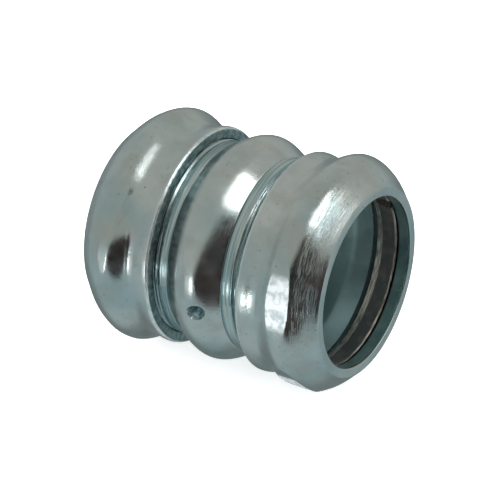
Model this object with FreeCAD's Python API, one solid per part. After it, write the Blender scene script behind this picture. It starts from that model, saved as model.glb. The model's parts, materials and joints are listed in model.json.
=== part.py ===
"""Compression coupling for 1-1/4 inch thin-wall steel conduit, lying with its axis along X.

A formed steel sleeve with a hollow bead at its middle, threaded at both ends, carries one gland
nut on each end.  Each nut pushes a split barrel-shaped ring into the cone at the sleeve's end, and
the ring closes on the conduit.  Origin: on the axis, at the middle of the sleeve's bead.  +Z is up.

Each piece is drawn about Z with the right-hand end of the fitting upwards, and is then laid along
X.  Angles round the fitting run from +Y towards +Z.  Lengths are in millimetres.
"""
import FreeCAD, Part
import math
import os

V = FreeCAD.Vector
AXIS = V(0, 0, 1)

# Driving dimensions
conduit_radius = 19.175
socket_clearance = 0.275
ring_clearance = 0.625
mouth_clearance = 0.425
sleeve_half_length = 20.5
bead_half_width = 6.86
bead_radius = 25.87
bead_slope = 0.62
hollow_slope = 0.9
hollow_setback = 0.46
neck_radius = 22.6
neck_end = 9.3
neck_taper = 0.7
thread_pitch = 1.27
thread_radius = 22.5
thread_depth = 0.62
thread_play = 0.12
flank_play = 0.1
flank_angle = 30.0
ridge_burial = 0.13
ridge_lead_in = 0.2
end_chamfer = 0.3
wall = 2.45
seat_angle = 22.0
seat_mouth_radius = 21.2

nut_length = 19.11
nut_skirt_at = 1.15
nut_skirt_radius = 25.2
nut_edge_slope = 1.4
nut_groove_at = 4.6
nut_groove_radius = 24.5
nut_crest_at = 10.9
nut_crest_radius = 27.1
nut_shoulder_at = 15.7
nut_shoulder_radius = 25.0
nut_shoulder_slope = -0.75
nut_rim_at = 18.66
nut_rim_outer_radius = 22.15
nut_rim_slope = -0.95
nut_rim_flat_radius = 21.55
mouth_bevel = 0.2
nut_lip_length = 2.82
nut_cone_angle = 40.0
nut_cavity_radius = 24.2
nut_cavity_ramp = 1.2
nut_thread_length = 8.0
nut_thread_bevel = 0.1
right_nut_edge = 11.74
left_nut_edge = 10.51

ring_length = 5.3
ring_inset = 3.7
ring_radius = 21.6
ring_edge = 0.25
ring_flare = 0.9
ring_flare_length = 1.9
ring_gap = 3.1
ring_gap_slant = 6.0
seat_gap = 0.11

stop_angle = 185.3
stop_offset = 2.0
stop_mouth_radius = 1.95
stop_bottom_radius = 1.1
stop_skin = 1.0
stop_reach = 1.2

# Six slightly crowned wrench flats are cut into a nut's crest.  They are centred a small shift off
# the nut's axis, so that they are deep on one side and shallow on the other.
flat_crown_radius = 55.0
right_flats = {"angle": 167.0, "distance": 26.63, "shift": 0.5, "deepest": 197.0}
left_flats = {"angle": 165.0, "distance": 26.9, "shift": 0.15, "deepest": 165.0}
right_ring_gap_angle = 30.0
left_ring_gap_angle = 205.0

# Worked out from the driving dimensions
socket_radius = conduit_radius + socket_clearance
ring_bore = conduit_radius + ring_clearance
mouth_radius = conduit_radius + mouth_clearance
thread_root = thread_radius - thread_depth
nut_thread_crest = thread_root + thread_play
nut_thread_root = thread_radius + thread_play
crest_flat = thread_pitch / 8
thread_start = neck_end - thread_pitch / 2


def knot(along, radius, slope):
    """A point of an outline: its place along the axis, its radius and the outline's slope."""
    return along, radius, slope


def smooth_edges(knots):
    """Cubic edges through the knots, each leaving and arriving at its knots' slopes."""
    edges = []
    for (z0, r0, m0), (z1, r1, m1) in zip(knots, knots[1:]):
        third = (z1 - z0) / 3
        curve = Part.BezierCurve()
        poles = [(r0, z0), (r0 + m0 * third, z0 + third), (r1 - m1 * third, z1 - third), (r1, z1)]
        curve.setPoles([V(r, 0, z) for r, z in poles])
        edges.append(curve.toShape())
    return edges


def straight_edges(points):
    """Straight edges through points given as (radius, along)."""
    corners = [V(r, 0, z) for r, z in points]
    return [Part.LineSegment(a, b).toShape() for a, b in zip(corners, corners[1:])]


def turned(edges):
    """The solid that a closed outline sweeps in one turn about the axis."""
    wire = Part.Wire(Part.__sortEdges__(edges))
    return Part.Face(wire).revolve(V(0, 0, 0), AXIS, 360)


def turned_polygon(points):
    """The turned solid of a closed outline of straight edges, as (radius, along) points."""
    return turned(straight_edges(points + points[:1]))


def helical_ridge(inner, outer, inner_width, outer_width, start, length):
    """One right-hand thread ridge of trapezoid section that leaves angle 0 at the start height."""
    helix = Part.makeHelix(thread_pitch, length, outer)
    helix.translate(V(0, 0, start))
    section = straight_edges([
        (inner, start - inner_width / 2),
        (outer, start - outer_width / 2),
        (outer, start + outer_width / 2),
        (inner, start + inner_width / 2),
        (inner, start - inner_width / 2),
    ])
    spine = Part.Wire(helix.Edges)
    return spine.makePipeShell([Part.Wire(section)], True, True)


def flank(depth):
    """Axial run of a thread flank over a radial depth."""
    return depth * math.tan(math.radians(flank_angle))


def upper_thread():
    """The thread ridge of the sleeve's right-hand end, from inside the neck to near the end."""
    root = thread_root - ridge_burial
    base = crest_flat + 2 * flank(thread_radius - root)
    end = sleeve_half_length - end_chamfer - base / 2
    return helical_ridge(root, thread_radius, base, crest_flat, thread_start, end - thread_start)


def stop_dent(angle):
    """The pocket and the inner nub of one staked conduit stop, as two solids."""
    tip = conduit_radius - stop_reach
    nub_radius = stop_bottom_radius + stop_skin
    centre = tip + nub_radius
    foot = bead_radius - wall
    over = 0.2  # the pocket's cutter reaches this far past the bead

    def radial(shape):
        shape.rotate(V(0, 0, 0), V(0, 1, 0), 90)
        shape.translate(V(0, 0, stop_offset))
        shape.rotate(V(0, 0, 0), AXIS, angle)
        return shape

    nub = Part.makeCone(nub_radius, stop_mouth_radius + stop_skin, foot - centre, V(0, 0, centre))
    nub = nub.fuse(Part.makeSphere(nub_radius, V(0, 0, centre)))
    pocket = Part.makeCone(stop_bottom_radius, stop_mouth_radius, bead_radius + over - centre,
                           V(0, 0, centre))
    pocket = pocket.fuse(Part.makeSphere(stop_bottom_radius, V(0, 0, centre)))
    return radial(nub), radial(pocket)


def sleeve():
    """The formed sleeve: bead, necks, threads, sockets, end cones and two staked stops."""
    cone_length = (seat_mouth_radius - socket_radius) / math.tan(math.radians(seat_angle))
    cone_start = sleeve_half_length - cone_length
    hollow_end = bead_half_width - hollow_setback
    hollow_radius = bead_radius - wall
    bead = [
        knot(-bead_half_width, neck_radius, bead_slope),
        knot(0, bead_radius, 0),
        knot(bead_half_width, neck_radius, -bead_slope),
    ]
    hollow = [
        knot(-hollow_end, socket_radius, hollow_slope),
        knot(0, hollow_radius, 0),
        knot(hollow_end, socket_radius, -hollow_slope),
    ]
    shoulder = neck_end + neck_taper
    outline = smooth_edges(bead) + smooth_edges(hollow)
    for side in (-1, 1):
        outline += straight_edges([
            (neck_radius, side * bead_half_width),
            (neck_radius, side * neck_end),
            (thread_root, side * shoulder),
            (thread_root, side * (sleeve_half_length - end_chamfer)),
            (thread_root - end_chamfer, side * sleeve_half_length),
            (seat_mouth_radius, side * sleeve_half_length),
            (socket_radius, side * cone_start),
            (socket_radius, side * hollow_end),
        ])
    body = turned(outline)
    for angle in (stop_angle, stop_angle + 180):
        nub, pocket = stop_dent(angle)
        body = body.fuse(nub).cut(pocket)
    right = upper_thread()
    left = right.copy()
    left.rotate(V(0, 0, 0), V(0, 1, 0), 180)
    return body.fuse([right, left])


def flats_prism(angle, distance, shift, deepest):
    """A prism of six shallow crowned sides that trims the wrench flats into a nut's crest."""
    half_side = distance * math.tan(math.radians(30))
    crown = flat_crown_radius - math.sqrt(flat_crown_radius ** 2 - half_side ** 2)
    edges = []
    for step in range(6):
        turn = math.radians(angle + 60 * step)
        out = V(math.cos(turn), math.sin(turn), 0)
        along = V(-math.sin(turn), math.cos(turn), 0)
        ends = [out * (distance - crown) + along * (side * half_side) for side in (-1, 1)]
        edges.append([ends, out * distance])
    sides = []
    for index, (ends, middle) in enumerate(edges):
        # Neighbouring crowns meet a little inside the plain hexagon's corner.
        before = edges[index - 1][0][1]
        after = edges[(index + 1) % 6][0][0]
        start = (ends[0] + before) * 0.5
        end = (ends[1] + after) * 0.5
        sides.append(Part.Arc(start, middle, end).toShape())
    over = 2.0  # the prism stands past both ends of the nut
    prism = Part.Face(Part.Wire(sides)).extrude(V(0, 0, nut_length + 2 * over))
    away = math.radians(deepest)
    prism.translate(V(-shift * math.cos(away), -shift * math.sin(away), -over))
    return prism


def gland_nut(edge, flats):
    """A gland nut whose skirt edge stands at the given height, threaded to match the sleeve."""
    outside = [
        knot(0, nut_groove_radius, nut_edge_slope),
        knot(nut_skirt_at, nut_skirt_radius, 0),
        knot(nut_groove_at, nut_groove_radius, 0),
        knot(nut_crest_at, nut_crest_radius, 0),
        knot(nut_shoulder_at, nut_shoulder_radius, nut_shoulder_slope),
        knot(nut_rim_at, nut_rim_outer_radius, nut_rim_slope),
    ]
    rim = straight_edges([
        (nut_rim_outer_radius, nut_rim_at),
        (nut_rim_flat_radius, nut_length),
        (mouth_radius + mouth_bevel, nut_length),
        (mouth_radius, nut_length - mouth_bevel),
    ])
    cone_slope = math.tan(math.radians(nut_cone_angle))
    lip_end = nut_length - nut_lip_length
    cavity_end = lip_end - (nut_cavity_radius - mouth_radius) / cone_slope
    inside = straight_edges([
        (mouth_radius, nut_length - mouth_bevel),
        (mouth_radius, lip_end),
        (nut_cavity_radius, cavity_end),
        (nut_cavity_radius, nut_thread_length + nut_cavity_ramp),
        (nut_thread_root, nut_thread_length),
        (nut_thread_root, nut_thread_bevel),
        (nut_thread_root + nut_thread_bevel, 0),
        (nut_groove_radius, 0),
    ])
    shell = turned(smooth_edges(outside) + rim + inside)
    shell = shell.common(flats_prism(**flats))
    shell.translate(V(0, 0, edge))

    # The nut's ridge runs in the middle of the sleeve's groove, its foot buried in the nut's wall.
    foot = nut_thread_root + ridge_burial
    groove = thread_pitch - crest_flat - 2 * flank(thread_radius - nut_thread_crest)
    crest = groove - 2 * flank_play
    base = crest + 2 * flank(foot - nut_thread_crest)
    middle = thread_start + thread_pitch / 2
    turns_in = math.ceil((edge + base / 2 + ridge_lead_in - middle) / thread_pitch)
    start = middle + turns_in * thread_pitch
    end = edge + nut_thread_length - base / 2
    ridge = helical_ridge(nut_thread_crest, foot, crest, base, start, end - start)
    return shell.fuse(ridge)


def compression_ring(edge, gap_angle):
    """The split barrel ring that stands in a nut whose skirt edge is at the given height."""
    outer_end = edge + nut_length - ring_inset
    inner_end = outer_end - ring_length
    cone_slope = math.tan(math.radians(nut_cone_angle))
    seat_slope = math.tan(math.radians(seat_angle))
    lip_end = edge + nut_length - nut_lip_length
    cone_gap = seat_gap / math.cos(math.radians(nut_cone_angle))
    outer_radius = mouth_radius + (lip_end - outer_end) * cone_slope - cone_gap
    inner_radius = ring_bore + ring_flare + ring_edge
    ring = turned_polygon([
        (ring_bore, outer_end),
        (outer_radius, outer_end),
        (ring_radius, outer_end - (ring_radius - outer_radius) / cone_slope),
        (ring_radius, inner_end + (ring_radius - inner_radius) / seat_slope),
        (inner_radius, inner_end),
        (ring_bore + ring_flare, inner_end),
        (ring_bore, inner_end + ring_flare_length),
    ])
    over = 2.0  # the slot's cutter reaches past the ring on every side
    slot = Part.makeBox(ring_radius - ring_bore + 2 * over, ring_gap, 4 * ring_length,
                        V(ring_bore - over, -ring_gap / 2, -2 * ring_length))
    slot.rotate(V(0, 0, 0), V(1, 0, 0), ring_gap_slant)
    slot.translate(V(0, 0, (outer_end + inner_end) / 2))
    slot.rotate(V(0, 0, 0), AXIS, gap_angle)
    return ring.cut(slot)


def lay_along_x(shape, left=False):
    """Turn a piece drawn about Z so that Z becomes +X, or -X for the left-hand end."""
    placed = shape.copy()
    if left:
        placed.rotate(V(0, 0, 0), V(0, 1, 0), 180)
    placed.rotate(V(0, 0, 0), V(1, 1, 1), 120)
    return placed


def seen_from_left(angle):
    """The drawing angle of a left-hand piece that ends up at the given angle."""
    return 180 - angle


def build():
    """All pieces, by node name."""
    left_turned = dict(left_flats)
    left_turned["angle"] = seen_from_left(left_flats["angle"])
    left_turned["deepest"] = seen_from_left(left_flats["deepest"])
    left_ring = compression_ring(left_nut_edge, seen_from_left(left_ring_gap_angle))
    return {
        "sleeve_body": lay_along_x(sleeve()),
        "right_gland_nut": lay_along_x(gland_nut(right_nut_edge, right_flats)),
        "left_gland_nut": lay_along_x(gland_nut(left_nut_edge, left_turned), left=True),
        "right_compression_ring": lay_along_x(
            compression_ring(right_nut_edge, right_ring_gap_angle)),
        "left_compression_ring": lay_along_x(left_ring, left=True),
    }


os.makedirs("parts", exist_ok=True)
for name, piece in build().items():
    piece.exportStep(os.path.join("parts", name + ".step"))
    print(name, "solids", len(piece.Solids), "valid", piece.isValid(),
          "volume", round(piece.Volume, 1))
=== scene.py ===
"""Looks of a conduit compression coupling: turned steel pieces with a bright zinc plate.

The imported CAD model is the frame.  Each piece is a turned mesh, closely sampled along its outline
and round the axis, that carries what the plain solid leaves out: wrench flats with soft edges, a
trimmed skirt edge, rolled threads that run out into the neck, staked stops and forming waves.
The fitting's axis is X.  Angles round it run from +Y towards +Z.  Lengths are in metres.
"""

import json
import logging
import math
from dataclasses import dataclass
from enum import Enum
from typing import Any, Sequence, Union

import bmesh
import bpy
import numpy as np
from mathutils import Matrix, Vector


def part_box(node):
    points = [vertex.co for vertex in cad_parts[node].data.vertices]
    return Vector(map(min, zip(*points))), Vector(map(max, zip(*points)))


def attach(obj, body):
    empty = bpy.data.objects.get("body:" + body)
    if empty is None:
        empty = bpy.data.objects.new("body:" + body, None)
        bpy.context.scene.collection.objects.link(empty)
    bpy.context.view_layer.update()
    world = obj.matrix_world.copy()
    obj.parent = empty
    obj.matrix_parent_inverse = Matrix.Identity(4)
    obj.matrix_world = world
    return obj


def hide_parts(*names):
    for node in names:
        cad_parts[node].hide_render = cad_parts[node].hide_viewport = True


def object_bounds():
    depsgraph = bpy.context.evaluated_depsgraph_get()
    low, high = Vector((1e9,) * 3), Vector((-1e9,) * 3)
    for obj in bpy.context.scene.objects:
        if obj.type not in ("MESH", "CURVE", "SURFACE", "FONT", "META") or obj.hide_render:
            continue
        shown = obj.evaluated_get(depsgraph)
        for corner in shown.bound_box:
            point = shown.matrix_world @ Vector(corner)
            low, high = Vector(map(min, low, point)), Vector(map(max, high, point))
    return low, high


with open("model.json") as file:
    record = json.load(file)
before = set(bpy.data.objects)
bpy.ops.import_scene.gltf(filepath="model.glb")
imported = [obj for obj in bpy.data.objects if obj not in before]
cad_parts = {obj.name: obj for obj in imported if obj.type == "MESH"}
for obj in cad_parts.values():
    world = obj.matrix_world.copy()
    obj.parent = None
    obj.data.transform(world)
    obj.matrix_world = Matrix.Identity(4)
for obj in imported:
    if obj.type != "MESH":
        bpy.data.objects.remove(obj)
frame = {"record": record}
CAD_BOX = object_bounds()

LOG = logging.getLogger("coupling")
MM = 0.001
FULL_TURN = 2 * math.pi
SAME_POINT = 1e-6
SHARP_ANGLE = math.radians(38)
ROUNDING_SHARE = 0.45
Knot = tuple[float, float, float]
Point = tuple[float, float]


class Zone(Enum):
    """Which finish a stretch of a piece's outline takes. The value is its material index."""

    OUTSIDE = 0
    THREAD = 1
    INSIDE = 2
    CUT = 3
    POCKET = 4


class End(Enum):
    """The two ends of the fitting, by the sign of X that they point along."""

    RIGHT = 1
    LEFT = -1

    def place(self, out: np.ndarray, turn: np.ndarray) -> tuple[np.ndarray, np.ndarray]:
        """Lay a piece drawn with its mouth towards +X at this end, without mirroring it.

        Args:
            out: distances from the fitting's middle.
            turn: angles round the axis, as drawn.

        Returns:
            The places along X and the angles round the fitting.
        """
        if self is End.RIGHT:
            return out, turn
        return -out, math.pi - turn

    def drawn_angle(self, degrees: float) -> float:
        """The angle to draw at, in radians, for a feature that ends up at the given degrees."""
        angle = math.radians(degrees)
        return angle if self is End.RIGHT else math.pi - angle


def ease(value: np.ndarray, low: float, high: float) -> np.ndarray:
    """A smooth step from 0 at low to 1 at high."""
    t = np.clip((value - low) / (high - low), 0.0, 1.0)
    return t * t * (3 - 2 * t)


def soft_min(first: np.ndarray, second: np.ndarray, width: float) -> np.ndarray:
    """The smaller of two arrays, with the corner between them rounded over the given width."""
    blend = np.clip(0.5 + 0.5 * (second - first) / width, 0.0, 1.0)
    return second + (first - second) * blend - width * blend * (1 - blend)


def waves(along: np.ndarray, turn: np.ndarray, seed: int, length: float) -> np.ndarray:
    """Gentle bumps of height about 1 that close smoothly round the axis.

    Args:
        along: places along the axis.
        turn: angles round the axis.
        seed: picks one pattern.
        length: the typical distance between bumps.
    """
    rng = np.random.default_rng(seed)
    total = np.zeros(np.broadcast(along, turn).shape)
    count = 14
    for _ in range(count):
        around = rng.integers(1, 9)
        pace = rng.uniform(0.3, 1.4) / length
        phase = rng.uniform(0, FULL_TURN)
        total += np.cos(around * turn + FULL_TURN * pace * along + phase)
    return total / math.sqrt(count)


class Outline:
    """A closed outline through the axis, gathered as closely spaced points with their zones."""

    def __init__(self) -> None:
        """Start an empty outline."""
        self.along: list[float] = []
        self.radius: list[float] = []
        self.zone: list[Zone] = []

    def add(self, along: float, radius: float, zone: Zone) -> None:
        """Add one point unless it repeats the last one."""
        if self.along and math.hypot(along - self.along[-1], radius - self.radius[-1]) < SAME_POINT:
            return
        self.along.append(along)
        self.radius.append(radius)
        self.zone.append(zone)

    def curve(self, knots: Sequence[Knot], step: float, zone: Zone) -> None:
        """Add a smooth stretch through knots.

        Args:
            knots: place along the axis, radius and slope of each knot.
            step: the largest distance between points along the axis.
            zone: the stretch's zone.
        """
        for (a0, r0, m0), (a1, r1, m1) in zip(knots, knots[1:]):
            count = max(2, math.ceil(abs(a1 - a0) / step))
            for t in np.linspace(0.0, 1.0, count + 1):
                rise = (a1 - a0) * (m0 * (t - 2 * t**2 + t**3) + m1 * (t**3 - t**2))
                share = 3 * t**2 - 2 * t**3
                self.add(a0 + (a1 - a0) * t, r0 + (r1 - r0) * share + rise, zone)

    def run(self, points: Sequence[Point], step: float, zone: Zone, fillet: float) -> None:
        """Add straight runs whose inner corners are rounded.

        Args:
            points: the ends and corners, as place along the axis and radius.
            step: the largest distance between points.
            zone: the stretch's zone.
            fillet: how far from a corner its rounding starts, up to a share of either side.
        """
        here = np.array(points[0])
        for index in range(1, len(points)):
            corner = np.array(points[index])
            span = np.linalg.norm(corner - here)
            last = index == len(points) - 1
            cut = 0.0
            if not last:
                after = np.array(points[index + 1])
                shorter = min(span, np.linalg.norm(after - corner))
                cut = min(fillet, ROUNDING_SHARE * shorter)
            stop = corner + (here - corner) * (cut / span)
            count = max(1, math.ceil(np.linalg.norm(stop - here) / step))
            for t in np.linspace(0.0, 1.0, count + 1):
                self.add(*(here + (stop - here) * t), zone)
            if last:
                break
            leave = corner + (after - corner) * (cut / np.linalg.norm(after - corner))
            for t in (0.25, 0.5, 0.75, 1.0):
                bend = stop * (1 - t)**2 + corner * (2 * t * (1 - t)) + leave * t**2
                self.add(*bend, zone)
            here = leave

    def spread(self, turn: np.ndarray) -> tuple[np.ndarray, np.ndarray, np.ndarray, np.ndarray]:
        """Lay the outline out over the columns at the given angles.

        Args:
            turn: the columns' angles.

        Returns:
            The place along the axis, radius and angle of each row and column, and each row's zone.
        """
        shape = (len(self.along), len(turn))
        along = np.broadcast_to(np.array(self.along)[:, None], shape).copy()
        radius = np.broadcast_to(np.array(self.radius)[:, None], shape).copy()
        zone = np.array([z.value for z in self.zone])[:, None]
        return along, radius, np.broadcast_to(turn[None, :], shape).copy(), zone


def columns(count: int, dense: Sequence[float] = (), spread: float = 0.0,
            gain: float = 1.0) -> np.ndarray:
    """Angles of a turned mesh's columns, closer together near some angles.

    Args:
        count: how many columns.
        dense: the angles near which columns are closer.
        spread: how far each dense stretch reaches to either side.
        gain: how many times closer the columns are there.
    """
    fine = np.linspace(0.0, FULL_TURN, 7201)
    weight = np.ones_like(fine)
    for angle in dense:
        off = np.abs((fine - angle + math.pi) % FULL_TURN - math.pi)
        weight += (gain - 1) * (1 - ease(off, spread, 1.35 * spread))
    total = np.concatenate([[0.0], np.cumsum((weight[1:] + weight[:-1]) / 2)])
    return np.interp(np.arange(count) / count * total[-1], total, fine)


def turned_mesh(name: str, along: np.ndarray, radius: np.ndarray, turn: np.ndarray,
                zones: np.ndarray, worn: Union[np.ndarray, None] = None,
                closed: bool = True) -> bpy.types.Object:
    """Make the mesh of an outline carried round the axis.

    Args:
        name: the new object's name.
        along: place along the axis of each row and column.
        radius: distance from the axis of each row and column.
        turn: angle of each row and column.
        zones: the zone value of each row, or of each row and column.
        worn: how far each point is a pressed, rough surface, from 0 to 1.
        closed: whether the last column joins the first, or both ends get a cap.

    Returns:
        The new object, linked to the scene.
    """
    rows, cols = radius.shape
    points = np.stack([along, radius * np.cos(turn), radius * np.sin(turn)], axis=-1)
    row = np.arange(rows)
    col = np.arange(cols if closed else cols - 1)
    i, j = np.meshgrid(row, col, indexing="ij")
    i_next = (i + 1) % rows
    j_next = (j + 1) % cols
    quads = np.stack([i * cols + j, i_next * cols + j, i_next * cols + j_next, i * cols + j_next],
                     axis=-1).reshape(-1, 4)
    faces: list[list[int]] = quads.tolist()
    if not closed:
        faces.append((row * cols).tolist())
        faces.append((row * cols + cols - 1).tolist()[::-1])
    mesh = bpy.data.meshes.new(name)
    mesh.from_pydata(points.reshape(-1, 3).tolist(), [], faces)
    index = np.broadcast_to(zones, (rows, cols))[:, :len(col)].ravel().tolist()
    index += [Zone.CUT.value] * (len(faces) - len(index))
    mesh.polygons.foreach_set("material_index", index)
    work = bmesh.new()
    work.from_mesh(mesh)
    bmesh.ops.recalc_face_normals(work, faces=work.faces)
    work.to_mesh(mesh)
    work.free()
    if worn is not None:
        mesh.attributes.new("worn", "FLOAT", "POINT").data.foreach_set("value", worn.ravel())
    mesh.polygons.foreach_set("use_smooth", [True] * len(mesh.polygons))
    mesh.set_sharp_from_angle(angle=SHARP_ANGLE)
    piece = bpy.data.objects.new(name, mesh)
    bpy.context.scene.collection.objects.link(piece)
    return piece


class Sock:
    """A shader value on its way between nodes, with the arithmetic of numbers."""

    def __init__(self, tree: "Tree", socket: bpy.types.NodeSocket) -> None:
        """Wrap a node's output socket."""
        self.tree = tree
        self.socket = socket

    def _math(self, operation: str, *values: Any) -> "Sock":
        """One Math node on the given values."""
        return self.tree.node("ShaderNodeMath", {"operation": operation}, values)

    def __add__(self, other: Any) -> "Sock":
        """Self + other."""
        return self._math("ADD", self, other)

    __radd__ = __add__

    def __sub__(self, other: Any) -> "Sock":
        """Self - other."""
        return self._math("SUBTRACT", self, other)

    def __rsub__(self, other: Any) -> "Sock":
        """Other - self."""
        return self._math("SUBTRACT", other, self)

    def __mul__(self, other: Any) -> "Sock":
        """Self * other."""
        return self._math("MULTIPLY", self, other)

    __rmul__ = __mul__

    def __pow__(self, other: Any) -> "Sock":
        """Self to the power of other."""
        return self._math("POWER", self, other)

    def angle_to(self, other: "Sock") -> "Sock":
        """The angle whose sine is self and whose cosine is other, times their common length."""
        return self._math("ARCTAN2", self, other)

    def step(self, low: float, high: float) -> "Sock":
        """A smooth step from 0 at low to 1 at high."""
        settings = {"interpolation_type": "SMOOTHSTEP"}
        return self.tree.node("ShaderNodeMapRange", settings,
                              {"Value": self, "From Min": low, "From Max": high}, "Result")


class Tree:
    """One material's nodes, and the one way in which they are made."""

    def __init__(self, name: str) -> None:
        """Start a material with an empty tree."""
        self.material = bpy.data.materials.new(name)
        self.material.use_nodes = True
        self.nodes = self.material.node_tree.nodes
        self.links = self.material.node_tree.links
        self.nodes.clear()

    @classmethod
    def of(cls, world: bpy.types.World) -> "Tree":
        """The emptied tree of a world."""
        tree = cls.__new__(cls)
        tree.nodes = world.node_tree.nodes
        tree.links = world.node_tree.links
        tree.nodes.clear()
        return tree

    def node(self, kind: str, settings: dict[str, Any], inputs: Any = (),
             output: Union[str, int] = 0) -> Union[Sock, None]:
        """Make one node.

        Args:
            kind: the node's type.
            settings: its properties, set before its sockets.
            inputs: the values or links of its sockets, in order or by name.
            output: which output to return.

        Returns:
            The chosen output, or None where the node has none.
        """
        made = self.nodes.new(kind)
        for key, value in settings.items():
            setattr(made, key, value)
        pairs = inputs.items() if isinstance(inputs, dict) else enumerate(inputs)
        for key, value in pairs:
            if isinstance(value, Sock):
                self.links.new(value.socket, made.inputs[key])
            else:
                made.inputs[key].default_value = value
        return Sock(self, made.outputs[output]) if made.outputs else None

    def noise(self, scale: float, detail: float = 2.0) -> Sock:
        """Cloudy noise from 0 to 1, with bumps about 1 / scale metres apart."""
        inputs = {"Scale": scale, "Detail": detail, "Vector": self.place()}
        return self.node("ShaderNodeTexNoise", {}, inputs, "Fac")

    def turned(self, across: float, around: float, detail: float = 2.0) -> Sock:
        """Noise from 0 to 1 drawn out round the axis, as turning and rolling leave it.

        Args:
            across: how many bumps there are to the metre, across the turning lines.
            around: how many there are to the radian, along them.
            detail: how much finer noise is laid over.
        """
        x, angle, radius = self.around()
        stretched = self.node("ShaderNodeCombineXYZ", {},
                              (x * across, angle * around, radius * across))
        inputs = {"Scale": 1.0, "Detail": detail, "Vector": stretched}
        return self.node("ShaderNodeTexNoise", {}, inputs, "Fac")

    def place(self) -> Sock:
        """The point on the piece, in its own frame, in metres."""
        return self.node("ShaderNodeTexCoord", {}, (), "Object")

    def mix(self, share: Sock, first: Any, second: Any) -> Sock:
        """A colour between two, by a share from 0 to 1."""
        return self.node("ShaderNodeMix", {"data_type": "RGBA"},
                         {0: share, 6: first, 7: second}, 2)

    def around(self) -> tuple[Sock, Sock, Sock]:
        """Place along the axis, angle round it in radians and distance from it."""
        apart = self.node("ShaderNodeSeparateXYZ", {}, {"Vector": self.place()})
        outputs = apart.socket.node.outputs
        x, y, z = (Sock(self, outputs[axis]) for axis in "XYZ")
        return x, z.angle_to(y), (y * y + z * z) ** 0.5

    def bump(self, height: Sock, depth: float, strength: float,
             normal: Union[Sock, None] = None) -> Sock:
        """A normal bent by a height from 0 to 1 that stands for the given depth in metres."""
        inputs: dict[str, Any] = {"Strength": strength, "Distance": depth, "Height": height}
        if normal is not None:
            inputs["Normal"] = normal
        return self.node("ShaderNodeBump", {}, inputs)

    def metal(self, colour: Sock, roughness: Sock, normal: Sock,
              metallic: Union[Sock, float] = 1.0) -> bpy.types.Material:
        """End the tree in a metal surface and hand back the material."""
        surface = self.node("ShaderNodeBsdfPrincipled", {}, {
            "Base Color": colour, "Roughness": roughness, "Metallic": metallic,
            "Normal": normal})
        self.node("ShaderNodeOutputMaterial", {}, {"Surface": surface})
        return self.material


@dataclass(frozen=True)
class ZincSkin:
    """Bright zinc plate over tumbled steel, polished on the crests and dull on pressed flats."""

    name: str = "zinc_skin"
    clear: tuple = (0.68, 0.705, 0.695, 1.0)
    tinted: tuple = (0.49, 0.595, 0.61, 1.0)
    warm: tuple = (0.60, 0.575, 0.535, 1.0)
    dirt: tuple = (0.33, 0.33, 0.31, 1.0)
    pressed_light: tuple = (0.91, 0.95, 0.975, 1.0)
    pressed_dark: tuple = (0.52, 0.58, 0.61, 1.0)
    polish: float = 0.105
    haze: float = 0.09
    pressed_haze: float = 0.15
    bead: tuple = (6.0 * MM, 7.2 * MM)
    taper_start: tuple = (25.6 * MM, 26.6 * MM)
    taper_end: tuple = (30.0 * MM, 30.4 * MM)

    def build(self) -> bpy.types.Material:
        """Make the material."""
        tree = Tree(self.name)
        worn = tree.node("ShaderNodeAttribute", {"attribute_name": "worn"}, (), "Fac")
        x = tree.around()[0]
        out = (x * x) ** 0.5
        on_taper = out.step(*self.taper_start) * (1 - out.step(*self.taper_end))
        on_bead = 1 - out.step(*self.bead)
        pressed = worn.step(0.3, 0.9)

        clouds = tree.noise(70.0, 3.0).step(0.35, 0.65)
        stains = tree.noise(140.0, 4.0).step(0.45, 0.68)
        specks = tree.noise(1700.0, 1.0).step(0.70, 0.78)
        dashes = tree.turned(1500.0, 22.0).step(0.66, 0.74)
        blue = tree.mix(clouds, self.clear, self.tinted)
        plate = tree.mix(stains * 0.6, blue, self.warm)
        dusty = tree.mix(specks * 0.8 + dashes * 0.22, plate, self.dirt)
        blotch = tree.noise(560.0, 5.0).step(0.36, 0.58)
        flat = tree.mix(blotch, self.pressed_dark, self.pressed_light)
        colour = tree.mix(pressed, dusty, flat)

        lines = tree.turned(9000.0, 7.0, 3.0)
        haze = tree.noise(420.0, 3.0).step(0.3, 0.75)
        smooth = haze * self.haze + self.polish + on_taper * (lines * 0.07) + on_bead * 0.03
        roughness = smooth + worn * self.pressed_haze

        fine = tree.bump(tree.noise(4200.0, 2.0), 0.03 * MM, 0.6)
        scratches = lines.step(0.50, 0.68) * clouds
        turning = tree.bump(scratches * (on_taper * 0.92 + 0.08), 0.04 * MM, 0.8, fine)
        peel = tree.noise(650.0, 2.0)
        normal = tree.bump(peel * (worn * 4 + 1), 0.05 * MM, 0.3, turning)
        return tree.metal(colour, roughness, normal, 1 - pressed * 0.3)


@dataclass(frozen=True)
class ZincThread:
    """Zinc plate on rolled threads and necks: turning lines and a bluer tint."""

    name: str = "zinc_thread"
    light: tuple = (0.68, 0.73, 0.72, 1.0)
    deep: tuple = (0.27, 0.42, 0.45, 1.0)

    def build(self) -> bpy.types.Material:
        """Make the material."""
        tree = Tree(self.name)
        lines = tree.turned(4500.0, 3.0)
        bands = tree.turned(1900.0, 1.2).step(0.38, 0.62)
        colour = tree.mix(bands * 0.7 + lines * 0.3, self.light, self.deep)
        normal = tree.bump(bands * 0.5 + lines, 0.08 * MM, 0.9)
        return tree.metal(colour, lines * 0.12 + 0.12, normal)


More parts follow.
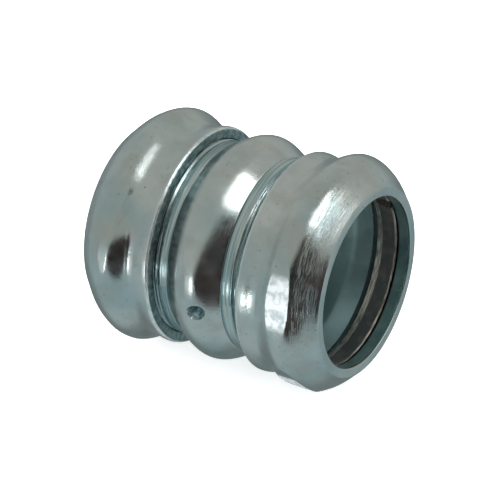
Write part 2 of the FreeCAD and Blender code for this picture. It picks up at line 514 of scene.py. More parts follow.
@dataclass(frozen=True)
class ZincBore:
    """The thin dull plate inside the bore, dark and teal, with painted shade on its lower side and
    where it widens, and a painted near-black shadow in the nuts' cones behind the rings.
    """

    name: str = "zinc_bore"
    light: tuple = (0.30, 0.44, 0.43, 1.0)
    dark: tuple = (0.18, 0.29, 0.295, 1.0)
    # Painted shade: the lower side deep in the bore, then the seats, cones and hollows where the
    # bore widens, and a near-black painted shadow in the nuts' cones behind the rings.
    shaded: tuple = (0.10, 0.165, 0.17, 1.0)
    seat: tuple = (0.15, 0.23, 0.235, 1.0)
    painted_shadow: tuple = (0.008, 0.010, 0.010, 1.0)
    # How far along the axis the painted shade below reaches, and the angles round the axis over
    # which it fades.
    shade: tuple = (13.0 * MM, 26.0 * MM)
    under: tuple = (-0.95, 0.05)
    widens: tuple = (19.55 * MM, 20.0 * MM)
    sleeve_end: tuple = (20.5 * MM, 21.0 * MM)
    hollow: tuple = (25.5 * MM, 26.2 * MM)

    def build(self) -> bpy.types.Material:
        """Make the material."""
        tree = Tree(self.name)
        x, angle, radius = tree.around()
        out = (x * x) ** 0.5
        clouds = tree.noise(150.0, 4.0).step(0.35, 0.7)
        flecks = tree.noise(1300.0, 1.0).step(0.72, 0.76)
        wider = radius.step(*self.widens)
        # Painted shade: darker on the lower side of the bore, deep in the sleeve.
        shade_below_mask = (1 - angle.step(*self.under)) * (1 - out.step(*self.shade))

        dull = tree.mix(clouds, self.light, self.dark)
        flecked = tree.mix(flecks * 0.6, dull, self.light)
        # Painted shade below, darker painted shade where the bore widens, and a near-black painted
        # shadow in the nuts' cones.
        shaded_below = tree.mix(shade_below_mask, flecked, self.shaded)
        seated = tree.mix(wider, shaded_below, tree.mix(clouds, self.seat, self.shaded))
        colour = tree.mix(wider * out.step(*self.hollow), seated, self.painted_shadow)

        grain = tree.noise(1900.0, 3.0)
        normal = tree.bump(grain, 0.04 * MM, 0.5)
        dusty = 1 - out.step(*self.sleeve_end)
        return tree.metal(colour, grain * 0.2 + 0.32, normal, 1 - dusty * 0.4)


@dataclass(frozen=True)
class DullPlate:
    """Plate that never was polished: on sheared edges, and pooled thick in the staked pockets."""

    name: str
    light: tuple
    dark: tuple
    bumps: float
    detail: float
    contrast: tuple
    depth: float
    strength: float
    metallic: float

    def build(self) -> bpy.types.Material:
        """Make the material."""
        tree = Tree(self.name)
        grain = tree.noise(self.bumps, self.detail)
        colour = tree.mix(grain.step(*self.contrast), self.dark, self.light)
        normal = tree.bump(grain, self.depth, self.strength)
        return tree.metal(colour, grain * 0.2 + 0.25, normal, self.metallic)


TRIMMED_EDGE = DullPlate(
    "trimmed_edge", light=(0.33, 0.42, 0.42, 1.0), dark=(0.15, 0.22, 0.23, 1.0), bumps=900.0,
    detail=4.0, contrast=(0.4, 0.65), depth=0.05 * MM, strength=0.5, metallic=1.0)
POCKET_PLATE = DullPlate(
    "pocket_plate", light=(0.31, 0.47, 0.52, 1.0), dark=(0.10, 0.18, 0.20, 1.0), bumps=1100.0,
    detail=3.0, contrast=(0.4, 0.62), depth=0.08 * MM, strength=0.6, metallic=0.5)


@dataclass(frozen=True)
class RingSteel:
    """The split ring's rolled skin: dark grey, faintly brown, with a soft sheen."""

    name: str = "ring_steel"
    dark: tuple = (0.125, 0.13, 0.13, 1.0)
    brown: tuple = (0.21, 0.195, 0.18, 1.0)

    def build(self) -> bpy.types.Material:
        """Make the material."""
        tree = Tree(self.name)
        lines = tree.turned(2500.0, 5.0)
        stains = tree.noise(500.0, 3.0).step(0.45, 0.7)
        colour = tree.mix(stains * 0.6 + lines * 0.3, self.dark, self.brown)
        normal = tree.bump(lines, 0.04 * MM, 0.5)
        return tree.metal(colour, stains * 0.12 + 0.32, normal, 0.9)


@dataclass(frozen=True)
class RingCut:
    """The ring's machined bevels and cut ends: bare steel with a brown cast."""

    name: str = "ring_cut"
    light: tuple = (0.76, 0.72, 0.66, 1.0)
    brown: tuple = (0.26, 0.22, 0.19, 1.0)

    def build(self) -> bpy.types.Material:
        """Make the material."""
        tree = Tree(self.name)
        streaks = tree.turned(3800.0, 9.0, 4.0)
        colour = tree.mix(streaks.step(0.35, 0.65), self.brown, self.light)
        normal = tree.bump(streaks, 0.06 * MM, 0.6)
        return tree.metal(colour, streaks * 0.25 + 0.28, normal, 0.97)


@dataclass(frozen=True)
class Finishes:
    """All of the fitting's materials, made once and shared."""

    skin: bpy.types.Material
    thread: bpy.types.Material
    bore: bpy.types.Material
    edge: bpy.types.Material
    pocket: bpy.types.Material
    ring: bpy.types.Material
    ring_cut: bpy.types.Material

    @classmethod
    def make(cls) -> "Finishes":
        """Build every finish."""
        return cls(ZincSkin().build(), ZincThread().build(), ZincBore().build(),
                   TRIMMED_EDGE.build(), POCKET_PLATE.build(), RingSteel().build(),
                   RingCut().build())

    def plated(self) -> list[bpy.types.Material]:
        """The materials of a plated piece, in the order of the zones."""
        return [self.skin, self.thread, self.bore, self.edge, self.pocket]

    def sprung(self) -> list[bpy.types.Material]:
        """The materials of a ring, in the order of the zones."""
        return [self.ring, self.ring, self.ring, self.ring_cut]


@dataclass(frozen=True)
class Thread:
    """The right-hand thread that the sleeve and its nuts share."""

    pitch: float
    start: float = 8.665 * MM
    major: float = 22.5 * MM
    depth: float = 0.62 * MM
    crest: float = 0.159 * MM
    play: float = 0.12 * MM
    crest_play: float = 0.1 * MM
    flank: float = math.tan(math.radians(30))

    def off_crest(self, out: np.ndarray, turn: np.ndarray) -> np.ndarray:
        """How far along the axis each point is from the middle of the nearest sleeve ridge."""
        turns = (out - self.start) / self.pitch - turn / FULL_TURN
        return np.abs(turns - np.round(turns)) * self.pitch

    def sleeve_radius(self, out: np.ndarray, turn: np.ndarray) -> np.ndarray:
        """The sleeve's surface: ridges of height depth under the major radius."""
        drop = (self.off_crest(out, turn) - self.crest / 2) / self.flank
        return self.major - np.clip(drop, 0.0, self.depth)

    def nut_radius(self, out: np.ndarray, turn: np.ndarray) -> np.ndarray:
        """The nut's surface, whose ridges run in the middle of the sleeve's grooves."""
        from_ridge = self.pitch / 2 - self.off_crest(out, turn)
        root = self.major + self.play
        inner = self.major - self.depth + self.play
        groove = self.pitch - self.crest - 2 * self.flank * (self.major - inner)
        half_crest = groove / 2 - self.crest_play
        rise = (from_ridge - half_crest) / self.flank
        return np.clip(inner + np.clip(rise, 0.0, None), inner, root)


@dataclass(frozen=True)
class Stop:
    """A conduit stop staked into the bead: a pocket outside and a round nub inside."""

    angle: float
    along: float = 2.0 * MM
    mouth: float = 1.95 * MM
    bottom: float = 1.1 * MM
    skin: float = 1.0 * MM
    centre: float = 20.075 * MM
    top: float = 25.95 * MM
    foot: float = 23.42 * MM
    inner_block: float = 2.6 * MM
    outer_block: float = 3.9 * MM
    reach: float = 5.85 * MM
    outer_level: float = 25.8 * MM
    inner_level: float = 21.0 * MM
    dish: float = 0.05 * MM
    pocket_round: float = 0.16 * MM
    nub_round: float = 0.4 * MM
    plated_share: float = 0.82

    def ringed(self, along: np.ndarray, turn: np.ndarray, level: float,
               ) -> tuple[np.ndarray, np.ndarray, np.ndarray]:
        """Bend the square mesh near the stop so that its squares become circles.

        Args:
            along: place along the axis of each mesh point.
            turn: angle of each mesh point.
            level: the radius at which distances round the axis are taken.

        Returns:
            The bent places and angles, and each point's distance from the stop's middle.
        """
        u = along - self.along
        off = (turn - self.angle + math.pi) % FULL_TURN - math.pi
        v = off * level
        square = np.maximum(np.abs(u), np.abs(v))
        circle = np.maximum(np.hypot(u, v), 1e-9)
        share = 1 - np.clip((square - self.inner_block) / (self.outer_block - self.inner_block),
                            0.0, 1.0)
        pull = 1 + share * (square / circle - 1)
        return (self.along + u * pull, turn + off * (pull - 1), np.hypot(u, v) * pull)

    def pocket(self, away: np.ndarray, radius: np.ndarray) -> np.ndarray:
        """The bead's outside, sunk into the pocket near its middle."""
        wall = self.centre + (away - self.bottom) / (self.mouth - self.bottom) * (
            self.top - self.centre)
        ball = self.centre - np.sqrt(np.clip(self.bottom**2 - away**2, 0.0, None))
        sunk = np.where(away < self.bottom, ball, wall)
        dished = radius - self.dish * np.exp(-(away / self.mouth)**2 / 2)
        return soft_min(sunk, dished, self.pocket_round)

    def nub(self, away: np.ndarray, radius: np.ndarray) -> np.ndarray:
        """The inside of the bead, pushed in over the stop's nub."""
        tip = self.bottom + self.skin
        base = self.mouth + self.skin
        wall = self.centre + (away - tip) / (base - tip) * (self.foot - self.centre)
        ball = self.centre - np.sqrt(np.clip(tip**2 - away**2, 0.0, None))
        pushed = np.where(away < tip, ball, wall)
        return soft_min(pushed, radius, self.nub_round)


class TurnedPiece:
    """What the fitting's pieces share: each is one turned mesh that stands for one CAD node."""

    slot = "zinc_plated_steel"
    node: str
    body: str
    finishes: Finishes
    piece: bpy.types.Object

    def materials(self) -> list[bpy.types.Material]:
        """The piece's materials, in the order of the zones."""
        return self.finishes.plated()

    def dress(self) -> None:
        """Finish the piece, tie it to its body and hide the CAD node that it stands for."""
        for material in self.materials():
            self.piece.data.materials.append(material)
        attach(self.piece, self.body)
        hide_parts(self.node)
        LOG.info("%s stands for %s on %s: %d faces", self.piece.name, self.node, self.body,
                 len(self.piece.data.polygons))


@dataclass
class Sleeve(TurnedPiece):
    """The formed sleeve in the middle, with its bead, necks, threads and staked stops."""

    thread: Thread
    finishes: Finishes
    node: str = "sleeve_body"
    body: str = "sleeve"
    half_length: float = 20.5 * MM
    bead_half: float = 6.86 * MM
    bead_radius: float = 25.87 * MM
    neck_radius: float = 22.6 * MM
    neck_end: float = 9.3 * MM
    wall: float = 2.45 * MM
    seat_mouth: float = 21.2 * MM
    seat_slope: float = math.tan(math.radians(22))
    socket_radius: float = 19.45 * MM
    seat_edge: float = 0.05 * MM
    end_bevel: float = 0.7 * MM
    bevel_drop: float = 0.3 * MM
    bead_slope: float = 0.62
    hollow_slope: float = 0.9
    hollow_setback: float = 0.46 * MM
    crease_depth: float = 0.4 * MM
    crease_at: float = 0.09 * MM
    crease_width: float = 0.07 * MM
    run_out: tuple = (-0.15, 0.75)
    swell_in: tuple = (-0.4, 0.1)
    wave_height: float = 0.03 * MM
    wave_length: float = 9 * MM
    seed: int = 11
    cols: int = 292
    dense: tuple = (math.radians(9), 3.2)
    stop_angles: tuple = (185.3, 5.3)

    def outline(self) -> Outline:
        """The closed outline, from the left end over the outside and back through the bore."""
        line = Outline()
        end = self.half_length
        shoulder = end - self.end_bevel
        neck = self.neck_radius
        hollow_end = self.bead_half - self.hollow_setback
        seat_end = end - (self.seat_mouth - self.socket_radius) / self.seat_slope
        bevel_radius = self.thread.major - self.thread.depth - self.bevel_drop
        face = ((end, self.seat_mouth + self.seat_edge), (end, bevel_radius), (shoulder, neck))
        by_crease = self.bead_half + 0.5 * MM
        stretches = ((shoulder, self.neck_end, self.thread.pitch / 9),
                     (self.neck_end, by_crease, 0.3 * MM),
                     (by_crease, self.bead_half + 0.02 * MM, 0.035 * MM))

        line.run([(-out, radius) for out, radius in face], 0.15 * MM, Zone.CUT, 0.08 * MM)
        for far, near, step in stretches:
            line.run([(-far, neck), (-near, neck)], step, Zone.THREAD, 0.0)
        line.curve([(-self.bead_half, neck, self.bead_slope), (0.0, self.bead_radius, 0.0),
                    (self.bead_half, neck, -self.bead_slope)], 0.17 * MM, Zone.OUTSIDE)
        for far, near, step in reversed(stretches):
            line.run([(near, neck), (far, neck)], step, Zone.THREAD, 0.0)
        line.run(face[::-1], 0.15 * MM, Zone.CUT, 0.08 * MM)
        line.run([(end, self.seat_mouth), (seat_end, self.socket_radius),
                  (hollow_end, self.socket_radius)], 0.7 * MM, Zone.INSIDE, 0.3 * MM)
        line.curve([(hollow_end, self.socket_radius, -self.hollow_slope),
                    (0.0, self.bead_radius - self.wall, 0.0),
                    (-hollow_end, self.socket_radius, self.hollow_slope)], 0.26 * MM, Zone.INSIDE)
        line.run([(-hollow_end, self.socket_radius), (-seat_end, self.socket_radius),
                  (-end, self.seat_mouth)], 0.7 * MM, Zone.INSIDE, 0.3 * MM)
        return line

    def threaded(self, along: np.ndarray, radius: np.ndarray, turn: np.ndarray,
                 zone: np.ndarray) -> np.ndarray:
        """Cut both threads, which run out towards the bead, and the crease at its foot.

        Args:
            along: place along the axis of each mesh point.
            radius: its distance from the axis.
            turn: its angle.
            zone: each row's zone.

        Returns:
            The new distances from the axis.
        """
        out = np.abs(along)
        drawn = np.where(along > 0, turn, math.pi - turn)
        cuttable = (zone == Zone.THREAD.value) | (zone == Zone.CUT.value)
        beyond = (out - self.neck_end) / self.thread.pitch
        rise = (self.thread.major - self.neck_radius) * ease(beyond, *self.swell_in)
        groove = self.thread.major - self.thread.sleeve_radius(out, drawn)
        cut = self.neck_radius + rise - groove * ease(beyond, *self.run_out)
        radius = np.where(cuttable, np.minimum(radius, cut), radius)
        off_crease = (out - self.bead_half - self.crease_at) / self.crease_width
        on_skin = radius > self.neck_radius - self.bevel_drop
        return radius - self.crease_depth * np.exp(-off_crease**2) * on_skin

    def build(self) -> bpy.types.Object:
        """Build the sleeve's mesh."""
        angles = [math.radians(angle) for angle in self.stop_angles]
        along, radius, turn, zone = self.outline().spread(
            columns(self.cols, angles, *self.dense))
        radius = self.threaded(along, radius, turn, zone)

        outside = zone == Zone.OUTSIDE.value
        inside = (zone == Zone.INSIDE.value) & (np.abs(along) < self.bead_half)
        zones = np.broadcast_to(zone, radius.shape).copy()
        for angle in angles:
            stop = Stop(angle)
            for rows, level, shape in ((outside, stop.outer_level, stop.pocket),
                                       (inside, stop.inner_level, stop.nub)):
                picked = rows[:, 0] & (np.abs(along[:, 0]) < self.bead_half)
                order = np.argsort(along[picked, 0])
                bent_along, bent_turn, away = stop.ringed(along, turn, level)
                wall = np.interp(bent_along, along[picked, 0][order], radius[picked, 0][order])
                near = picked[:, None] & (away < stop.reach)
                along = np.where(near, bent_along, along)
                turn = np.where(near, bent_turn, turn)
                radius = np.where(near, shape(away, wall), radius)
                in_pocket = near & outside & (away < stop.plated_share * stop.mouth)
                zones = np.where(in_pocket, Zone.POCKET.value, zones)
        swell = ease(radius, self.neck_radius, self.bead_radius) * outside
        formed = waves(along, turn, self.seed, self.wave_length) * swell
        radius = radius + self.wave_height * formed
        self.piece = turned_mesh("sleeve_plated", along, radius, turn, zones, 0 * radius)
        return self.piece


@dataclass(frozen=True)
class Flats:
    """Six shallow wrench flats pressed into a nut's crest, deeper on one side."""

    angle: float
    distance: float
    shift: float
    deepest: float
    crown: float = 48.0 * MM
    soft: float = 0.07 * MM

    def trim(self, radius: np.ndarray, turn: np.ndarray, end: End) -> tuple[np.ndarray, np.ndarray]:
        """Cut the flats into a surface.

        Args:
            radius: the surface's radius.
            turn: the angle of each point, as drawn.
            end: the end of the fitting that the nut is on.

        Returns:
            The trimmed radius, and how deep the cut is.
        """
        whole = radius
        for step in range(6):
            middle = end.drawn_angle(self.angle + 60 * step)
            off = turn - middle
            lean = math.cos(math.radians(self.angle + 60 * step - self.deepest))
            near = self.distance - self.shift * lean
            centre = near - self.crown
            facing = np.cos(off) > 0.7
            reach = np.sqrt(np.clip(self.crown**2 - (centre * np.sin(off))**2, 0.0, None))
            face = np.where(facing, centre * np.cos(off) + reach, 1.0)
            radius = soft_min(radius, face, self.soft)
        return radius, whole - radius


@dataclass(frozen=True)
class Bulge:
    """A place where the forming dies left a nut's wall a little high or low."""

    along: float
    angle: float
    height: float
    reach: float
    spread: float
    slant: float = 0.0

    def lift(self, along: np.ndarray, turn: np.ndarray, end: End) -> np.ndarray:
        """How far the wall is lifted.

        Args:
            along: each point's distance from the skirt edge.
            turn: each point's angle, as drawn.
            end: the end of the fitting that the nut is on.
        """
        off = (turn - end.drawn_angle(self.angle) + math.pi) % FULL_TURN - math.pi
        away = along - self.along - self.slant * off * (-1 if end is End.LEFT else 1)
        far = (away / self.reach)**2 + (off / math.radians(self.spread))**2
        return self.height * np.exp(-far)


@dataclass
class GlandNut(TurnedPiece):
    """A gland nut: rolled skirt, groove, fat crest with flats, taper, rim and inner lip."""

    end: End
    flats: Flats
    thread: Thread
    finishes: Finishes
    node: str
    body: str
    name: str
    seed: int
    skirt: float = 25.2 * MM
    groove: float = 24.6 * MM
    crest: float = 27.1 * MM
    shoulder: float = 25.0 * MM
    rim: float = 21.8 * MM
    mouth: float = 19.6 * MM
    lip: float = 2.82 * MM
    edge_round: float = 0.12 * MM
    edge_slope: float = 1.4
    skirt_at: float = 1.15 * MM
    groove_at: float = 4.6 * MM
    crest_at: float = 10.9 * MM
    shoulder_at: float = 15.7 * MM
    shoulder_slope: float = -0.75
    rim_at: float = 0.45 * MM
    rim_rise: float = 0.35 * MM
    rim_slope: float = -0.95
    mouth_bevel: tuple = (0.15 * MM, 0.12 * MM)
    cone_slope: float = math.tan(math.radians(40))
    cavity: float = 24.2 * MM
    cavity_ramp: float = 1.2 * MM
    thread_length: float = 8.0 * MM
    thread_start: float = 0.7 * MM
    thread_fade: float = 0.6 * MM
    creases: tuple = (5.9 * MM, 15.1 * MM)
    crease_height: float = 0.03 * MM
    crease_width: float = 0.3 * MM
    crest_reach: tuple = (6 * MM, 16 * MM)
    wave_height: float = 0.03 * MM
    dent_depth: float = 0.02 * MM
    ragged_by: float = 0.05 * MM
    ragged_reach: float = 0.5 * MM
    bulges: tuple = ()
    cols: int = 440

    def outline(self, length: float) -> Outline:
        """The closed outline with the skirt edge at 0 and the mouth at the nut's length.

        Args:
            length: the nut's length.
        """
        line = Outline()
        small = self.edge_round
        shoulder = (self.shoulder_at, self.shoulder, self.shoulder_slope)
        rim_at = length - self.rim_at
        rim_top = self.rim + self.rim_rise
        bevel, bevel_rise = self.mouth_bevel
        line.curve([(small, self.groove + small, self.edge_slope),
                    (self.skirt_at, self.skirt, 0.0), (self.groove_at, self.groove, 0.0)],
                   0.28 * MM, Zone.OUTSIDE)
        line.curve([(self.groove_at, self.groove, 0.0), (self.crest_at, self.crest, 0.0),
                    shoulder], 0.16 * MM, Zone.OUTSIDE)
        line.curve([shoulder, (rim_at, rim_top, self.rim_slope)], 0.3 * MM, Zone.OUTSIDE)
        line.run([(rim_at, rim_top), (length, self.rim - 0.1 * MM),
                  (length, self.mouth + bevel_rise), (length - bevel, self.mouth)],
                 0.3 * MM, Zone.OUTSIDE, small)
        lip_end = length - self.lip
        cavity_end = lip_end - (self.cavity - self.mouth) / self.cone_slope
        root = self.thread.major + self.thread.play
        line.run([(length - bevel, self.mouth), (lip_end, self.mouth),
                  (cavity_end, self.cavity), (self.thread_length + self.cavity_ramp, self.cavity),
                  (self.thread_length, root)], 0.55 * MM, Zone.INSIDE, small)
        line.run([(self.thread_length, root), (self.thread_start, root)],
                 self.thread.pitch / 8, Zone.THREAD, 0.0)
        line.run([(self.thread_start, root), (0.1 * MM, root), (0.0, root + 0.1 * MM),
                  (0.0, self.groove - 0.1 * MM), (small, self.groove + small)],
                 0.3 * MM, Zone.CUT, 0.06 * MM)
        return line

    def threaded(self, along: np.ndarray, turn: np.ndarray, edge: float) -> np.ndarray:
        """The thread's surface, with its first and last turn eased in.

        Args:
            along: place along the axis from the skirt edge.
            turn: angle, as drawn.
            edge: the skirt edge's distance from the fitting's middle.
        """
        root = self.thread.major + self.thread.play
        ridge = self.thread.nut_radius(edge + along, turn)
        last = self.thread_length - 0.2 * MM
        share = ease(along, self.thread_start, self.thread_start + self.thread_fade) * (
            1 - ease(along, last - self.thread_fade, last))
        return root - (root - ridge) * share

    def pressed(self, along: np.ndarray, radius: np.ndarray, turn: np.ndarray,
                outside: np.ndarray) -> tuple[np.ndarray, np.ndarray]:
        """Form the outside: the dies' creases and waves, and the flats pressed into the crest.

        Args:
            along: place along the axis from the skirt edge.
            radius: distance from the axis.
            turn: angle, as drawn.
            outside: which rows are on the outside.

        Returns:
            The new distance from the axis, and how far each point is pressed rough.
        """
        for place in self.creases:
            ridge = np.exp(-((along - place) / self.crease_width)**2)
            radius = radius + self.crease_height * ridge * outside
        for bulge in self.bulges:
            radius = radius + bulge.lift(along, turn, self.end) * outside
        swell = ease(radius, self.groove, self.crest) * outside
        radius = radius + self.wave_height * waves(along, turn, self.seed, 10 * MM) * swell

        trimmed, depth = self.flats.trim(radius, turn, self.end)
        low, high = self.crest_reach
        crest = outside & (along > low) & (along < high)
        share = 0.12 + 0.88 * ease(depth.max(axis=0), 0.4 * MM, 0.85 * MM)
        worn = np.where(crest, ease(depth, 0.02 * MM, 0.07 * MM) * share, 0.0)
        dents = self.dent_depth * waves(along, turn * 6, self.seed + 7, 1.6 * MM) * worn
        radius = np.where(crest, trimmed + np.minimum(dents, 0.0), radius)

        skirt = 0.3 * (1 - ease(along, self.groove_at, self.groove_at + 1.4 * MM))
        rolled_edge = 0.25 * (1 - ease(along, 0.4 * MM, 1.1 * MM))
        return radius, np.maximum(worn, (skirt + rolled_edge) * outside)

    def build(self) -> bpy.types.Object:
        """Build the nut's mesh at its place."""
        low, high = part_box(self.node)
        edge = low.x if self.end is End.RIGHT else -high.x
        along, radius, turn, zone = self.outline(high.x - low.x).spread(columns(self.cols))
        radius = np.where(zone == Zone.THREAD.value, self.threaded(along, turn, edge), radius)
        radius, worn = self.pressed(along, radius, turn, zone == Zone.OUTSIDE.value)

        # The sheared skirt edge is a little ragged.
        ragged = waves(0 * along, turn * 9, self.seed + 1, 1.0) + waves(
            0 * along, turn * 23, self.seed + 2, 1.0)
        root = self.thread.major + self.thread.play
        at_edge = (1 - ease(along, 0.0, self.ragged_reach)) * (radius > root + 0.9 * MM)
        along = along + np.clip(ragged, 0.0, None) * self.ragged_by * at_edge

        x, angle = self.end.place(edge + along, turn)
        self.piece = turned_mesh(self.name, x, radius, angle, zone, worn)
        return self.piece


@dataclass
class SplitRing(TurnedPiece):
    """A split barrel ring with bevelled ends, open at its gap."""

    end: End
    gap_angle: float
    finishes: Finishes
    node: str
    body: str
    name: str
    bore: float = 19.8 * MM
    radius: float = 21.6 * MM
    flare: float = 0.9 * MM
    flare_length: float = 1.9 * MM
    edge: float = 0.25 * MM
    outer_end_radius: float = 20.2 * MM
    bevel_slope: float = math.tan(math.radians(40))
    seat_slope: float = math.tan(math.radians(22))
    bore_bevel: tuple = (0.12 * MM, 0.08 * MM)
    gap: float = 3.1 * MM
    slant: float = math.tan(math.radians(6))
    cut_roughness: float = 0.012 * MM
    seed: int = 31
    cols: int = 260
    slot = "ring_steel"

    def outline(self, start: float, stop: float) -> Outline:
        """The closed outline of the ring's section.

        Args:
            start: distance of the end that faces the sleeve.
            stop: distance of the end that faces the mouth.
        """
        line = Outline()
        tip = self.bore + self.flare + self.edge
        line.run([(start, tip), (start + (self.radius - tip) / self.seat_slope, self.radius),
                  (stop - (self.radius - self.outer_end_radius) / self.bevel_slope, self.radius),
                  (stop, self.outer_end_radius)], 0.3 * MM, Zone.OUTSIDE, 0.15 * MM)
        bevel, bevel_rise = self.bore_bevel
        line.run([(stop, self.outer_end_radius), (stop, self.bore + bevel_rise),
                  (stop - bevel, self.bore)], 0.12 * MM, Zone.CUT, 0.05 * MM)
        line.run([(stop - bevel, self.bore), (start + self.flare_length, self.bore)],
                 0.3 * MM, Zone.INSIDE, 0.0)
        line.run([(start + self.flare_length, self.bore), (start, self.bore + self.flare),
                  (start, tip)], 0.25 * MM, Zone.CUT, 0.04 * MM)
        return line

    def build(self) -> bpy.types.Object:
        """Build the ring's mesh at its place."""
        low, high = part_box(self.node)
        ends = sorted(abs(value) for value in (low.x, high.x))
        along, radius, share, zone = self.outline(*ends).spread(np.linspace(0.0, 1.0, self.cols))
        middle = self.end.drawn_angle(self.gap_angle)
        half_gap = self.gap / 2 / self.bore
        lean = (along - sum(ends) / 2) * self.slant / self.bore
        turn = middle - lean + half_gap + share * (FULL_TURN - 2 * half_gap)
        rough = waves(along, turn * 7, self.seed, 1.5 * MM) * self.cut_roughness
        radius = radius - np.clip(rough, 0.0, None) * (zone == Zone.CUT.value)
        x, angle = self.end.place(along, turn)
        self.piece = turned_mesh(self.name, x, radius, angle, zone, closed=False)
        return self.piece

    def materials(self) -> list[bpy.types.Material]:
        """The ring's materials, in the order of the zones."""
        return self.finishes.sprung()


def heading(azimuth: float, elevation: float) -> Vector:
    """The direction at an azimuth and elevation in degrees; azimuth 0 is -Y and 90 is +X."""
    az, el = math.radians(azimuth), math.radians(elevation)
    return Vector((math.sin(az) * math.cos(el), -math.cos(az) * math.cos(el), math.sin(el)))


@dataclass(frozen=True)
class Softbox:
    """One soft rectangular light that isn't seen itself."""

    name: str
    azimuth: float
    elevation: float
    wide: float
    high: float
    glow: float
    tint: tuple
    distance: float = 0.9

    def build(self) -> None:
        """Hang the light and point it at the fitting. Its glow is how bright its face is."""
        data = bpy.data.lights.new(self.name, "AREA")
        data.shape = "RECTANGLE"
        data.size = 2 * self.distance * math.tan(math.radians(self.wide / 2))
        data.size_y = 2 * self.distance * math.tan(math.radians(self.high / 2))
        data.energy = self.glow * math.pi * data.size * data.size_y
        data.color = self.tint
        lamp = bpy.data.objects.new(self.name, data)
        place = heading(self.azimuth, self.elevation) * self.distance
        lamp.location = place
        lamp.rotation_euler = place.to_track_quat("Z", "Y").to_euler()
        lamp.visible_camera = False
        lamp.visible_diffuse = False
        bpy.context.scene.collection.objects.link(lamp)


@dataclass(frozen=True)
class Flag:
    """A black cloth that only reflections see: the dark side of the room."""

    name: str
    corners: tuple
    distance: float = 0.22
    dark: tuple = (0.005, 0.004, 0.004, 1.0)
    light: tuple = (0.019, 0.013, 0.011, 1.0)

    def build(self) -> None:
        """Hang the cloth by its corners, each given as azimuth and elevation in degrees."""
        mesh = bpy.data.meshes.new(self.name)
        points = [heading(*corner) * self.distance for corner in self.corners]
        middle = sum(points, Vector()) / len(points)
        rim = list(range(len(points)))
        faces = [(here, rim[here - 1], len(points)) for here in rim]
        mesh.from_pydata(points + [middle], [], faces)
        card = bpy.data.objects.new(self.name, mesh)
        bpy.context.scene.collection.objects.link(card)
        tree = Tree(self.name + "_cloth")
        folds = tree.noise(26.0, 2.0).step(0.38, 0.62)
        cloth = tree.mix(folds, self.dark, self.light)
        surface = tree.node("ShaderNodeBsdfPrincipled", {}, {
            "Base Color": cloth, "Roughness": 0.95, "Specular IOR Level": 0.0})
        tree.node("ShaderNodeOutputMaterial", {}, {"Surface": surface})
        mesh.materials.append(tree.material)
        card.visible_camera = False
        card.visible_diffuse = False
        card.visible_shadow = False


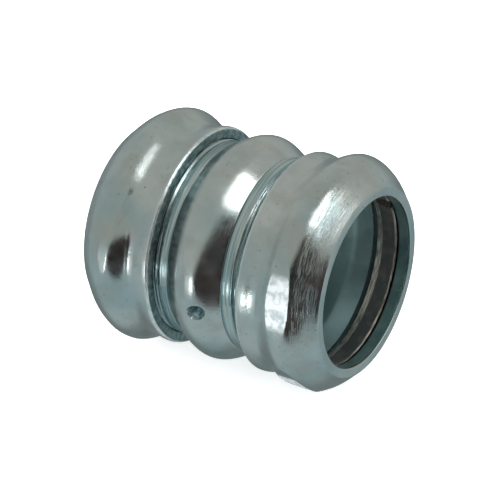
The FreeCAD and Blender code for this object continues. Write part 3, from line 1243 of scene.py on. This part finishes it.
@dataclass(frozen=True)
class Studio:
    """The plain pale floor, the light tent, the lights with one dark cloth, and the camera."""

    azimuth: float = 32.43
    elevation: float = 32.0
    roll: float = -2.16
    distance: float = 0.6328
    lens: float = 203.3
    shift: tuple = (0.0048, -0.0052)
    floor_grey: tuple = (0.93, 0.93, 0.93, 1.0)
    floor_light: tuple = (0.94, 0.94, 0.94, 1.0)
    floor_lift: float = 0.5
    paper_glow: float = 1.8
    tent_top: tuple = (0.396, 0.419, 0.393, 1.0)
    tent_foot: tuple = (0.345, 0.428, 0.436, 1.0)
    far_corner: tuple = (-0.36, 0.62, -0.70)

    def floor(self, level: float) -> None:
        """Lay a wide pale floor under the fitting.

        Args:
            level: its height.
        """
        bpy.ops.mesh.primitive_plane_add(size=12.0, location=(0.0, 0.0, level))
        ground = bpy.context.object
        ground.name = "studio_floor"
        ground.visible_glossy = False
        ground.visible_shadow = False
        tree = Tree("pale_paper")
        cloud = tree.noise(6.0, 2.0).step(0.2, 0.8)
        colour = tree.mix(cloud, self.floor_grey, self.floor_light)
        surface = tree.node("ShaderNodeBsdfPrincipled", {}, {
            "Base Color": colour, "Roughness": 0.95, "Specular IOR Level": 0.0,
            "Emission Color": (1.0, 1.0, 1.0, 1.0), "Emission Strength": self.floor_lift})
        tree.node("ShaderNodeOutputMaterial", {}, {"Surface": surface})
        ground.data.materials.append(tree.material)

    def tent(self) -> None:
        """Surround the fitting with the light tent: white paper, which metal sees as grey."""
        world = bpy.data.worlds.new("light_tent")
        bpy.context.scene.world = world
        world.use_nodes = True
        tree = Tree.of(world)
        towards = tree.node("ShaderNodeTexCoord", {}, (), "Generated")
        height = tree.node("ShaderNodeSeparateXYZ", {}, {0: towards}, "Z")
        behind = tree.node("ShaderNodeVectorMath", {"operation": "DOT_PRODUCT"},
                           {0: towards, 1: self.far_corner}, "Value")
        paper = tree.mix(height.step(-0.55, 0.35), self.tent_foot, self.tent_top)
        wall = tree.mix(behind.step(0.55, 0.95) * 0.55, paper, (0.0, 0.0, 0.0, 1.0))
        glossy = tree.node("ShaderNodeLightPath", {}, (), "Is Glossy Ray")
        seen = tree.mix(glossy, (*[self.paper_glow] * 3, 1.0), wall)
        air = tree.node("ShaderNodeBackground", {}, {"Color": seen, "Strength": 1.0})
        tree.node("ShaderNodeOutputWorld", {}, {"Surface": air})

    def lights(self) -> None:
        """Hang the softboxes and the dark cloth."""
        for softbox in (Softbox("window_softbox", 98.0, 57.0, 34.0, 15.0, 3.3, (0.96, 1.0, 1.0)),
                        Softbox("side_softbox", 104.0, 44.0, 48.0, 16.0, 0.75, (0.96, 1.0, 1.0)),
                        Softbox("low_softbox", -5.0, -14.0, 8.0, 10.0, 5.0, (0.97, 1.0, 1.0)),
                        Softbox("low_glow", -20.0, -14.0, 28.0, 16.0, 0.4, (0.95, 1.0, 1.0))):
            softbox.build()
        Flag("room_flag", ((4, -14), (4, 0), (15, 13), (38, 37), (50, 48), (64, 43), (73, 23),
                           (71, -3), (58, -20), (36, -37), (16, -26))).build()

    def camera(self) -> None:
        """Set the camera, with the slight roll that levels the fitting."""
        back = heading(self.azimuth, self.elevation)
        roll = math.radians(self.roll)
        level = heading(self.azimuth + 90, 0.0)
        upright = back.cross(level)
        right = level * math.cos(roll) + upright * math.sin(roll)
        up = upright * math.cos(roll) - level * math.sin(roll)
        data = bpy.data.cameras.new("camera")
        data.sensor_width = 36.0
        data.lens = self.lens
        data.shift_x, data.shift_y = self.shift
        data.clip_start = 0.01
        view = bpy.data.objects.new("camera", data)
        turn = Matrix((right, up, back)).transposed()
        view.matrix_world = Matrix.Translation(back * self.distance) @ turn.to_4x4()
        bpy.context.scene.collection.objects.link(view)
        bpy.context.scene.camera = view

    def build(self, floor_level: float) -> None:
        """Set up the whole studio.

        Args:
            floor_level: the height of the floor.
        """
        self.floor(floor_level)
        self.tent()
        self.lights()
        self.camera()
        bpy.context.scene.view_settings.view_transform = "Standard"


def corners(box: Sequence[Vector]) -> list[list[float]]:
    """A box as plain lists of numbers."""
    return [list(map(float, corner)) for corner in box]


def main() -> None:
    """Build every piece in order, dress it and set up the studio."""
    logging.basicConfig(level=logging.INFO, format="%(name)s: %(message)s")
    lead = frame["record"]["behaviour"]["couplings"][0]["ratio"]
    thread = Thread(pitch=lead * FULL_TURN)
    finishes = Finishes.make()
    pieces = [
        Sleeve(thread, finishes),
        GlandNut(End.RIGHT, Flats(166.0, 26.6 * MM, 0.5 * MM, 197.0), thread, finishes,
                 "right_gland_nut", "right_nut", "right_nut_plated", 5),
        GlandNut(End.LEFT, Flats(165.0, 27.0 * MM, 0.05 * MM, 165.0), thread, finishes,
                 "left_gland_nut", "left_nut", "left_nut_plated", 8,
                 bulges=(Bulge(6.2 * MM, 154.0, 0.42 * MM, 2.2 * MM, 8.0, 7.0 * MM),
                         Bulge(7.3 * MM, 134.0, -0.17 * MM, 1.0 * MM, 2.6))),
        SplitRing(End.RIGHT, 30.0, finishes, "right_compression_ring", "right_ring",
                  "right_ring_steel"),
        SplitRing(End.LEFT, 205.0, finishes, "left_compression_ring", "left_ring",
                  "left_ring_steel"),
    ]
    for piece in pieces:
        piece.build()
        piece.dress()
    Studio().build(CAD_BOX[0][2])


if __name__ == "__main__":
    main()
